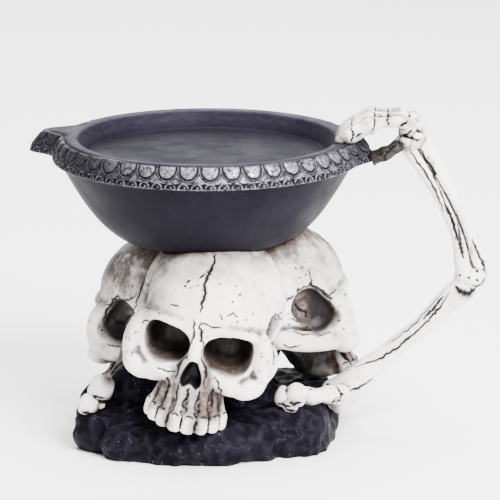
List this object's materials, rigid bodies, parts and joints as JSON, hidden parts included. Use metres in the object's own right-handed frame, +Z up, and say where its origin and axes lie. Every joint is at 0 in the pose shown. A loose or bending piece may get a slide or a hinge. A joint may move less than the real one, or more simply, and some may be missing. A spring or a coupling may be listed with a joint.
{
  "type": "skull candle holder",
  "caption": "Round footless candle bowl with a scaled rim, carried on skulls back to back on a rocky base, with a skeleton arm as its handle.",
  "frame": {"origin": "on the flat underside of the rock, under the bowl's axis", "axes": "+Z up, +X towards the arm that is the handle, -Y the way the front skull faces"},
  "size_m": [0.1993, 0.1334, 0.1443],
  "materials": {
    "black_paint": "satin black paint with dry-brushed silver on the rim and a grey-blue brushing on the rock",
    "bone_paint": "painted cast resin, bone white with a brown wash in the hollows and dark cracks"
  },
  "bodies": {
    "root": {"bowl": "black_paint", "skull_base": "bone_paint", "arm_handle": "bone_paint"}
  },
  "joints": []
}
